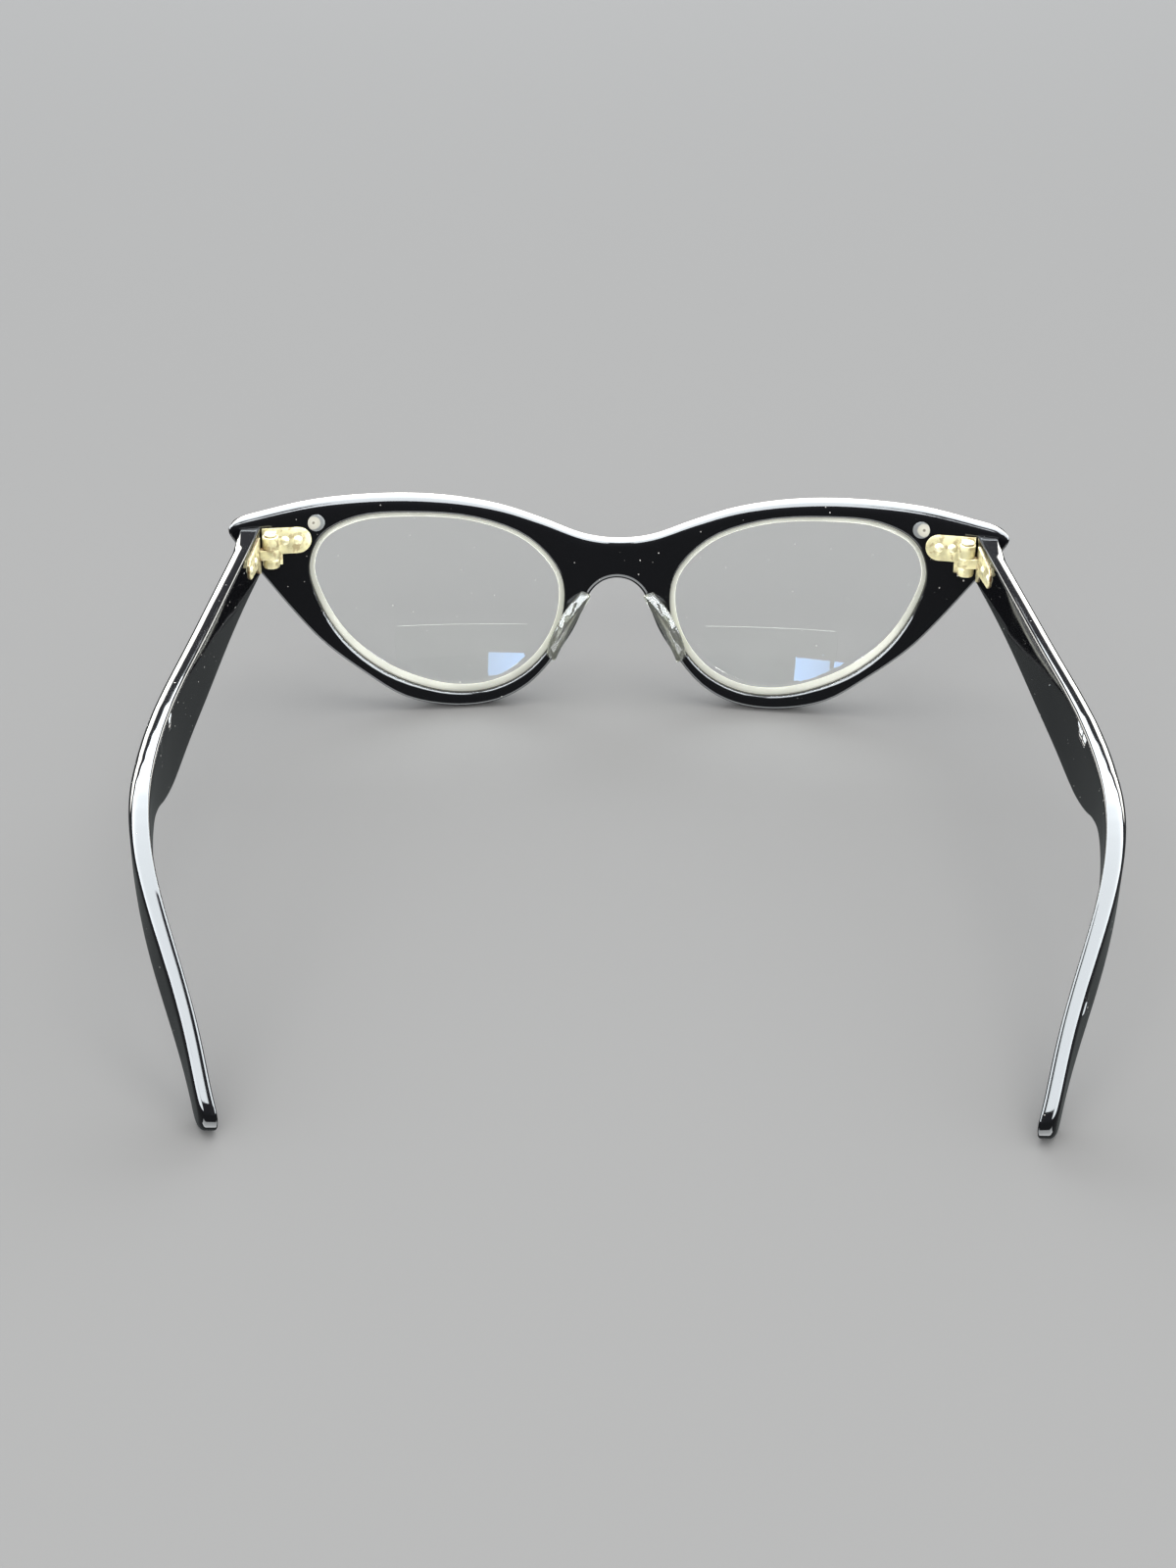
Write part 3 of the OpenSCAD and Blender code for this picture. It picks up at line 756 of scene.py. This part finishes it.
def stud_material(name, centre, axis, radius):
    """Cream enamel on a metal dome with fine crackle: dark brown at the middle, dimmer outwards and
    grey at the rim.
    """
    material, tree = new_material(name)
    place = node(tree, "ShaderNodeTexCoord").outputs["Object"]
    offset = node(tree, "ShaderNodeVectorMath", {0: place, 1: centre}, operation="SUBTRACT")
    aside = node(tree, "ShaderNodeVectorMath", {0: offset.outputs["Vector"], 1: axis},
                 operation="CROSS_PRODUCT")
    away = node(tree, "ShaderNodeVectorMath", {0: aside.outputs["Vector"]}, operation="LENGTH")
    share = calc(tree, "DIVIDE", away.outputs["Value"], radius)
    cloud = node(tree, "ShaderNodeTexNoise", {"Vector": place, "Scale": 1500.0, "Detail": 4.0})
    uneven = calc(tree, "MULTIPLY_ADD", cloud.outputs["Fac"], 0.16, share)
    # colour by distance from the middle: dark brown, then cream that dims outwards, then grey at the
    # rim
    colour = ramp(tree, uneven, [(0.2, (0.30, 0.26, 0.2)), (0.28, (0.93, 0.90, 0.78)),
                                 (0.8, (0.80, 0.77, 0.66)), (0.92, (0.30, 0.31, 0.31))])
    worn = node(tree, "ShaderNodeBump", {"Height": cloud.outputs["Fac"], "Strength": 0.2,
                                         "Distance": 0.00004})
    surface = node(tree, "ShaderNodeBsdfPrincipled", {
        "Base Color": colour, "Roughness": 0.4, "Normal": worn.outputs["Normal"]})
    node(tree, "ShaderNodeOutputMaterial", {"Surface": surface.outputs["BSDF"]})
    return material


def floor_material():
    material, tree = new_material("pale_floor")
    surface = node(tree, "ShaderNodeBsdfPrincipled", {
        "Base Color": (0.42, 0.415, 0.41, 1), "Roughness": 1.0, "Specular IOR Level": 0.0})
    node(tree, "ShaderNodeOutputMaterial", {"Surface": surface.outputs["BSDF"]})
    return material


def soften(name, material, width):
    """Gives a CAD node rounded edges and its material; its own mesh stays as it is."""
    piece = frame["nodes"][name]
    piece.data.materials.clear()
    piece.data.materials.append(material)
    piece.data.polygons.foreach_set("use_smooth", [True] * len(piece.data.polygons))
    merge = piece.modifiers.new("merge", "WELD")
    merge.merge_threshold = 1e-6
    flats = piece.modifiers.new("flats", "DECIMATE")
    flats.decimate_type = "DISSOLVE"
    flats.angle_limit = math.radians(1)
    edges = piece.modifiers.new("edges", "BEVEL")
    edges.width = width
    edges.segments = 3
    edges.limit_method = "ANGLE"
    edges.angle_limit = math.radians(32)
    edges.harden_normals = True


# ---- stage ----

def build_floor():
    half = FLOOR_HALF
    mesh = bpy.data.meshes.new("floor")
    mesh.from_pydata([(-half, -half, 0), (half, -half, 0), (half, half, 0), (-half, half, 0)],
                     [], [(0, 1, 2, 3)])
    mesh.materials.append(floor_material())
    floor = bpy.data.objects.new("floor", mesh)
    bpy.context.scene.collection.objects.link(floor)
    floor.visible_glossy = False


def area_light(name, place, target, size, power, colour=(1, 1, 1)):
    data = bpy.data.lights.new(name, "AREA")
    data.shape = "RECTANGLE"
    data.size, data.size_y = size
    data.energy = power
    data.color = colour
    light = bpy.data.objects.new(name, data)
    light.location = place
    light.rotation_euler = (Vector(target) - Vector(place)).to_track_quat("-Z", "Y").to_euler()
    bpy.context.scene.collection.objects.link(light)
    return light


def band(tree, value, low, high, blur):
    """1 where low < value < high, fading out over blur on either side."""
    rise = node(tree, "ShaderNodeMapRange", {"Value": value, "From Min": low - blur,
                                             "From Max": low}, interpolation_type="SMOOTHSTEP")
    fall = node(tree, "ShaderNodeMapRange", {"Value": value, "From Min": high + blur,
                                             "From Max": high}, interpolation_type="SMOOTHSTEP")
    return calc(tree, "MULTIPLY", rise.outputs["Result"], fall.outputs["Result"])


def build_world():
    """Even light for dull surfaces; polished ones mirror softboxes ahead, overhead and low behind
    in a dim room."""
    world = bpy.data.worlds.new("studio")
    world.use_nodes = True
    tree = world.node_tree
    tree.nodes.clear()
    way = node(tree, "ShaderNodeTexCoord").outputs["Generated"]
    x, y, z = node(tree, "ShaderNodeSeparateXYZ", {"Vector": way}).outputs
    aside = calc(tree, "ABSOLUTE", x)
    height = calc(tree, "DEGREES", calc(tree, "ARCTAN2", z, y))
    mirrored = ramp(tree, calc(tree, "MULTIPLY_ADD", z, 0.5, 0.5),
                    [(0.46, (0.12, 0.13, 0.13)), (0.56, (0.2, 0.21, 0.23)), (1.0, (0.3, 0.31, 0.33))])
    for (low, high, blur), (near, far), light in SOFTBOXES:
        lit = calc(tree, "MULTIPLY", band(tree, height, low, high, blur),
                   band(tree, aside, near, far, 0.04))
        glow = node(tree, "ShaderNodeMix", {"Factor": lit, "A": mirrored, "B": (*light, 1)},
                    data_type="RGBA")
        mirrored = glow.outputs["Result"]
    path = node(tree, "ShaderNodeLightPath")
    direct = calc(tree, "LESS_THAN", path.outputs["Diffuse Depth"], 0.5)
    seen = calc(tree, "MULTIPLY", path.outputs["Is Glossy Ray"], direct)
    colour = node(tree, "ShaderNodeMix", {"Factor": seen, "A": AMBIENT, "B": mirrored},
                  data_type="RGBA")
    sky = node(tree, "ShaderNodeBackground", {"Color": colour.outputs["Result"], "Strength": 1.0})
    node(tree, "ShaderNodeOutputWorld", {"Surface": sky.outputs["Background"]})
    bpy.context.scene.world = world


def build_lights():
    """Soft lights for dull surfaces, the window panes that the lenses mirror, and the room."""
    soft = [
        area_light("window", (0.0, 1.3, 0.85), (0, 0, 0), (1.9, 0.7), 9, (0.93, 0.97, 1.0)),
        area_light("ceiling", (0.1, -0.1, 1.5), (0, 0, 0), (1.2, 1.2), 7, (1.0, 0.98, 0.95)),
        area_light("fill", (-0.2, -1.3, 0.8), (0, 0, 0), (1.4, 0.9), 8, (1.0, 1.0, 0.98))]
    for light in soft:
        light.visible_glossy = False
    lenses = bpy.data.collections.new("lenses")
    for side in SIDES:
        lenses.objects.link(bpy.data.objects[side + "_lens_glass"])
    for pane, shift in (("low", -PANE_GAP), ("high", PANE_GAP)):
        light = area_light("pane_" + pane, PANE_PLACE + Vector((shift, 0, 0)), PANE_AIM,
                           PANE_SIZE, PANE_POWER, (0.3, 0.56, 1.0))
        light.data.spread = PANE_SPREAD
        light.light_linking.receiver_collection = lenses
        light.visible_diffuse = light.visible_transmission = light.visible_camera = False
    build_world()
    bpy.context.scene.view_settings.view_transform = "Standard"


def build_camera():
    """A camera behind and above the glasses, looking down and forward."""
    pitch, yaw, roll = (math.radians(angle) for angle in CAMERA_TURN)
    turn = Matrix.Rotation(yaw, 3, "Z")
    forward = turn @ Vector((0, math.cos(pitch), -math.sin(pitch)))
    up = turn @ Vector((0, math.sin(pitch), math.cos(pitch)))
    right = turn @ Vector((1, 0, 0))
    rolled_right = right * math.cos(roll) + up * math.sin(roll)
    rolled_up = up * math.cos(roll) - right * math.sin(roll)
    data = bpy.data.cameras.new("camera")
    data.sensor_width = 36
    data.lens = CAMERA_LENS
    data.clip_start = 0.01
    camera = bpy.data.objects.new("camera", data)
    camera.matrix_world = Matrix.Translation(CAMERA_PLACE) @ Matrix(
        (rolled_right, rolled_up, -forward)).transposed().to_4x4()
    bpy.context.scene.collection.objects.link(camera)
    bpy.context.scene.camera = camera


def build_object():
    outer, openings = front_outlines()
    black = acetate_material("black_acetate", (0.006, 0.006, 0.0075))
    clear = clear_material("lens_clear", (0.985, 0.995, 0.99), 1.52, True)
    ground = ground_glass_material("lens_ground_edge", (0.98, 0.99, 0.87))
    fused = clear_material("segment_clear", (0.99, 0.995, 0.99), 1.015, False)
    line = ground_glass_material("segment_edge", (0.6, 0.62, 0.58))
    crystal = crystal_material("crystal_acetate")
    brass = brass_material("hinge_brass", (0.80, 0.72, 0.42), (0.24, 0.12, 0.035), 0.56)
    rivet = brass_material("rivet_brass", (0.82, 0.76, 0.50), (0.30, 0.18, 0.06), 0.66)
    build_front(outer, openings, black)
    for side in SIDES:
        build_temple(side, black)
        build_lens(side, openings[side], clear, ground)
        build_segment(side, openings[side], fused, line)
        build_pad(side, crystal)
        soften(side + "_front_hinge_leaf", brass, HARDWARE_ROUND["leaf"])
        soften(side + "_temple_hinge_leaf", brass, HARDWARE_ROUND["leaf"])
        soften(side + "_hinge_screw", rivet, HARDWARE_ROUND["screw"])
        soften(side + "_front_hinge_rivets", rivet, HARDWARE_ROUND["rivet"])
        soften(side + "_temple_hinge_rivets", rivet, HARDWARE_ROUND["rivet"])
        points, _ = cad_mesh(side + "_corner_stud")
        middle = (points.min(0) + points.max(0)) / 2
        x, _, z = upright(middle[None])[0]
        through = np.diff(on_front(np.full(2, x), np.full(2, z), np.array([0, MM])), axis=0)[0]
        stud = stud_material(side + "_stud_enamel", tuple(middle), tuple(through / MM),
                             STUD_RADIUS)
        soften(side + "_corner_stud", stud, HARDWARE_ROUND["stud"])


build_object()
build_floor()
build_lights()
build_camera()
